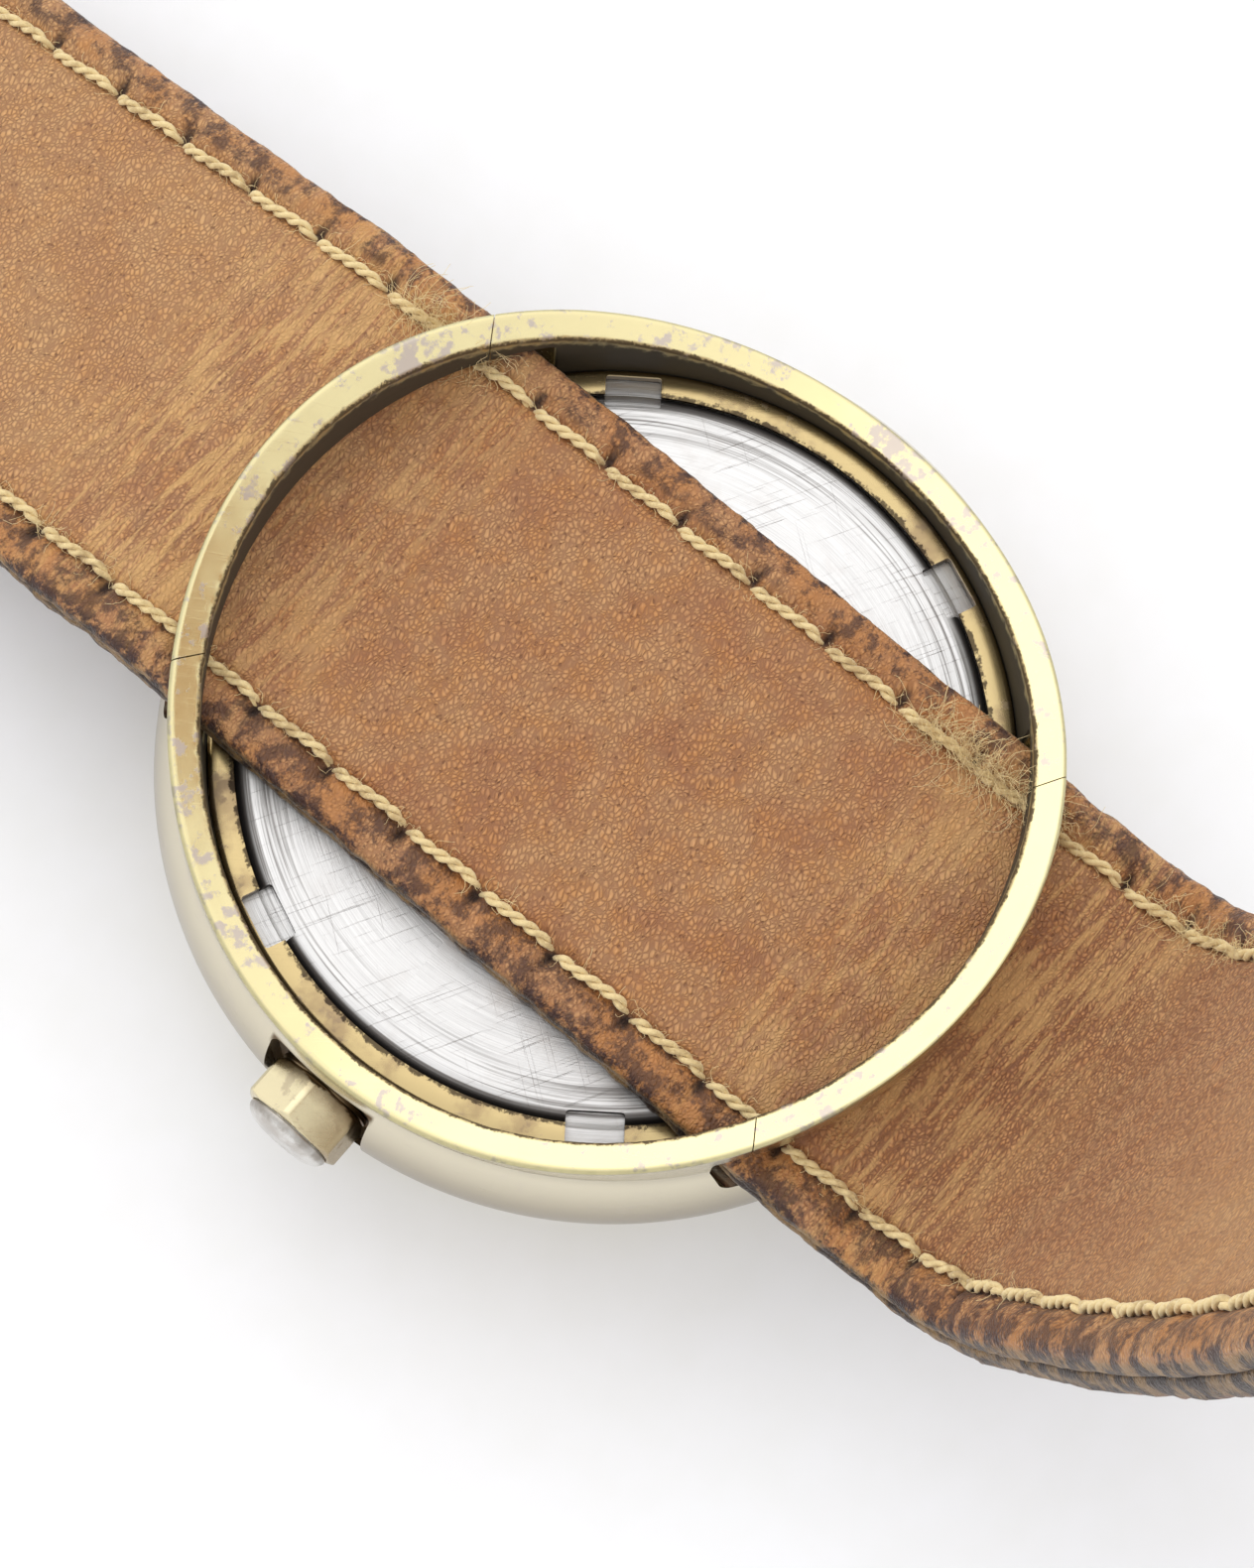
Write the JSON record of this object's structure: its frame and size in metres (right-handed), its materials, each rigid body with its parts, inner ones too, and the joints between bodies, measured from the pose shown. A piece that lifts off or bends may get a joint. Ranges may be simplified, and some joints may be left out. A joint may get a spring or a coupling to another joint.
{
  "type": "wristwatch",
  "caption": "Round wristwatch with a hand-wound movement and a stitched one-piece leather strap that runs through the case, lying open on its crystal.",
  "frame": {"origin": "centre of the crystal's flat face, on which the watch lies", "axes": "+Z out of the case back, -X towards the crown at three o'clock, +Y towards twelve o'clock and the buckle"},
  "size_m": [0.0377, 0.1339, 0.0998],
  "materials": {
    "gold_plate": "worn pale gold plate, polished, grey where it has rubbed through",
    "gold_ring": "aged gold plate with black spots",
    "steel_back": "circular brushed steel",
    "crystal_clear": "clear acrylic",
    "polished_steel": "polished steel",
    "seal_rubber": "black rubber",
    "dial_cream": "aged cream lacquer",
    "gilt": "gilt",
    "movement_nickel": "nickel plate with fine stripes",
    "wheel_brass": "bright brass",
    "spring_steel": "blued spring steel",
    "ruby": "synthetic ruby",
    "strap_leather": "tan brown leather with a fine grain, grimy along the edges",
    "strap_back_leather": "darker brown leather",
    "thread": "cream twisted thread",
    "buckle_gold": "worn pale gold plate"
  },
  "bodies": {
    "case": {"case_body": "gold_plate", "strap_bar_12": "gold_plate", "strap_bar_6": "gold_plate", "case_back": "steel_back", "back_lock_ring": "gold_ring", "back_gasket": "seal_rubber", "crystal": "crystal_clear", "crystal_tension_ring": "gold_ring", "crown_tube": "gold_plate", "dial": "dial_cream", "hour_markers": "gilt", "movement_holder_ring": "movement_nickel", "main_plate": "movement_nickel", "barrel_bridge": "movement_nickel", "train_bridge": "movement_nickel", "balance_cock": "movement_nickel", "pallet_bridge": "movement_nickel", "jewels": "ruby", "bridge_screws": "polished_steel", "click_spring": "spring_steel", "hairspring": "spring_steel", "strap_outer_leather": "strap_back_leather", "strap_lining_leather": "strap_leather", "strap_stitching": "thread", "fixed_keeper": "strap_back_leather", "spring_bar": "polished_steel"},
    "seconds": {"fourth_wheel": "wheel_brass", "seconds_hand": "gilt"},
    "third": {"third_wheel": "wheel_brass"},
    "minutes": {"centre_wheel": "wheel_brass", "cannon_pinion": "polished_steel", "minute_hand": "gilt"},
    "hours": {"hour_wheel": "wheel_brass", "hour_hand": "gilt"},
    "minute_work": {"minute_wheel": "wheel_brass"},
    "drum": {"barrel": "wheel_brass", "mainspring": "spring_steel"},
    "escape": {"escape_wheel": "polished_steel"},
    "pallets": {"pallet_fork": "polished_steel"},
    "balance": {"balance_wheel": "wheel_brass"},
    "pinion": {"winding_pinion": "polished_steel"},
    "stem": {"winding_stem": "polished_steel", "crown": "gold_plate", "crown_cap": "polished_steel", "crown_seal": "seal_rubber"},
    "clutch": {"sliding_clutch": "polished_steel"},
    "winding_wheel": {"crown_wheel": "polished_steel"},
    "ratchet": {"ratchet_wheel": "polished_steel", "barrel_arbor": "polished_steel"},
    "click": {"click": "polished_steel"},
    "lever": {"setting_lever": "polished_steel"},
    "yoke": {"yoke": "polished_steel"},
    "keeper": {"floating_keeper": "strap_back_leather"},
    "buckle": {"buckle_frame": "buckle_gold"},
    "tang": {"buckle_tang": "buckle_gold"}
  },
  "joints": [
    {"name": "seconds_turn", "type": "hinge", "parent": "case", "child": "seconds", "pos_m": [0, -0.0066, 0], "axis": [0, 0, 1], "continuous": true},
    {"name": "third_turn", "type": "hinge", "parent": "case", "child": "third", "pos_m": [-0.00181, -0.00372, 0], "axis": [0, 0, 1], "continuous": true},
    {"name": "minutes_turn", "type": "hinge", "parent": "case", "child": "minutes", "pos_m": [0, 0, 0], "axis": [0, 0, 1], "continuous": true},
    {"name": "hours_turn", "type": "hinge", "parent": "case", "child": "hours", "pos_m": [0, 0, 0], "axis": [0, 0, 1], "continuous": true},
    {"name": "minute_work_turn", "type": "hinge", "parent": "case", "child": "minute_work", "pos_m": [-0.00205, -0.00205, 0], "axis": [0, 0, 1], "continuous": true},
    {"name": "drum_turn", "type": "hinge", "parent": "case", "child": "drum", "pos_m": [-0.00106, 0.006, 0], "axis": [0, 0, 1], "continuous": true},
    {"name": "escape_turn", "type": "hinge", "parent": "case", "child": "escape", "pos_m": [0.0032, -0.0073, 0], "axis": [0, 0, 1], "continuous": true},
    {"name": "pallet_rock", "type": "hinge", "parent": "case", "child": "pallets", "pos_m": [0.00504, -0.00525, 0], "axis": [0, 0, 1], "range_deg": [-5, 5]},
    {"name": "balance_swing", "type": "hinge", "parent": "case", "child": "balance", "pos_m": [0.0076, -0.0024, 0], "axis": [0, 0, 1], "range_deg": [-270, 270]},
    {"name": "crown_turn", "type": "hinge", "parent": "case", "child": "pinion", "pos_m": [0, 0, 0.0065], "axis": [1, 0, 0], "continuous": true},
    {"name": "crown_pull", "type": "slide", "parent": "pinion", "child": "stem", "axis": [-1, 0, 0], "range_m": [0, 0.0009]},
    {"name": "clutch_slide", "type": "slide", "parent": "pinion", "child": "clutch", "axis": [1, 0, 0], "range_m": [0, 0.0005]},
    {"name": "winding_wheel_turn", "type": "hinge", "parent": "case", "child": "winding_wheel", "pos_m": [-0.0076, 0.0024, 0], "axis": [0, 0, 1], "continuous": true},
    {"name": "ratchet_turn", "type": "hinge", "parent": "case", "child": "ratchet", "pos_m": [-0.00106, 0.006, 0], "axis": [0, 0, 1], "continuous": true},
    {"name": "click_lift", "type": "hinge", "parent": "case", "child": "click", "pos_m": [0.0059, 0.003, 0], "axis": [0, 0, 1], "range_deg": [0, 8]},
    {"name": "lever_turn", "type": "hinge", "parent": "case", "child": "lever", "pos_m": [-0.0093, -0.0024, 0], "axis": [0, 0, 1], "range_deg": [0, 26]},
    {"name": "yoke_turn", "type": "hinge", "parent": "case", "child": "yoke", "pos_m": [-0.0074, -0.0039, 0], "axis": [0, 0, 1], "range_deg": [-12, 0]},
    {"name": "keeper_slide", "type": "slide", "parent": "case", "child": "keeper", "axis": [0, 1, 0], "range_m": [-0.003, 0.0065]},
    {"name": "buckle_fold", "type": "hinge", "parent": "case", "child": "buckle", "pos_m": [0, 0.09223, 0.00265], "axis": [1, 0, 0], "range_deg": [0, 72]},
    {"name": "tang_lift", "type": "hinge", "parent": "buckle", "child": "tang", "pos_m": [0, 0.09223, 0.00265], "axis": [1, 0, 0], "range_deg": [0, 30]}
  ],
  "couplings": [
    {"joint": "third_turn", "follows": "seconds_turn", "ratio": -0.13333},
    {"joint": "minutes_turn", "follows": "seconds_turn", "ratio": 0.016667},
    {"joint": "escape_turn", "follows": "seconds_turn", "ratio": -10},
    {"joint": "drum_turn", "follows": "seconds_turn", "ratio": -0.0026316},
    {"joint": "minute_work_turn", "follows": "seconds_turn", "ratio": -0.0055556},
    {"joint": "hours_turn", "follows": "seconds_turn", "ratio": 0.0013889},
    {"joint": "winding_wheel_turn", "follows": "crown_turn", "ratio": 0.52},
    {"joint": "ratchet_turn", "follows": "crown_turn", "ratio": -0.25},
    {"joint": "clutch_slide", "follows": "crown_pull", "ratio": 0.5},
    {"joint": "lever_turn", "follows": "crown_pull", "rad_per_m": 500},
    {"joint": "yoke_turn", "follows": "crown_pull", "rad_per_m": -150}
  ]
}
